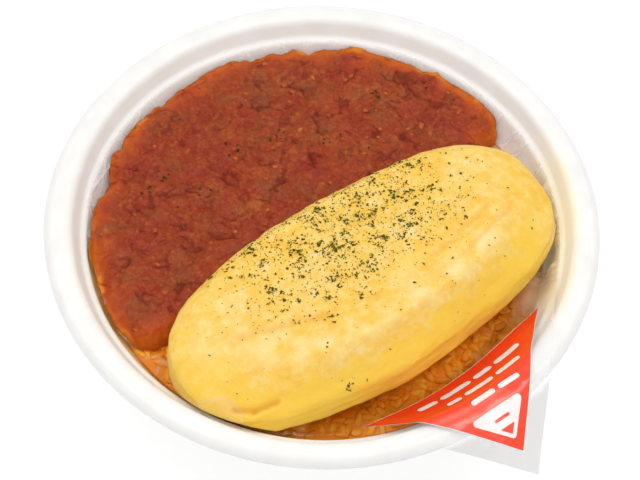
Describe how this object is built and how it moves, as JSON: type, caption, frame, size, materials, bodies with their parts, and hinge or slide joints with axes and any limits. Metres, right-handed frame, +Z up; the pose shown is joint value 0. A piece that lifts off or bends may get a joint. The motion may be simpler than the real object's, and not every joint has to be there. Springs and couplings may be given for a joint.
{
  "type": "omurice in a bowl",
  "caption": "Round white foam bowl of tomato rice with a clear film, a plump yellow omelette and a meat and tomato sauce; the film's corner is a pull tab over the rim.",
  "frame": {"origin": "middle of the bowl's flat foot", "axes": "+Z up; the film's pull tab points between +X and -Y, and the omelette lies diagonally from -X -Y to +X"},
  "size_m": [0.185, 0.1846, 0.0576],
  "materials": {
    "foam": "white foamed sheet, satin",
    "tomato_rice": "moist cooked rice",
    "clear_film": "clear thin film",
    "egg": "soft cooked egg",
    "meat_sauce": "wet sauce"
  },
  "bodies": {
    "root": {"bowl": "foam", "rice": "tomato_rice", "film": "clear_film", "omelette": "egg", "sauce": "meat_sauce"}
  },
  "joints": []
}
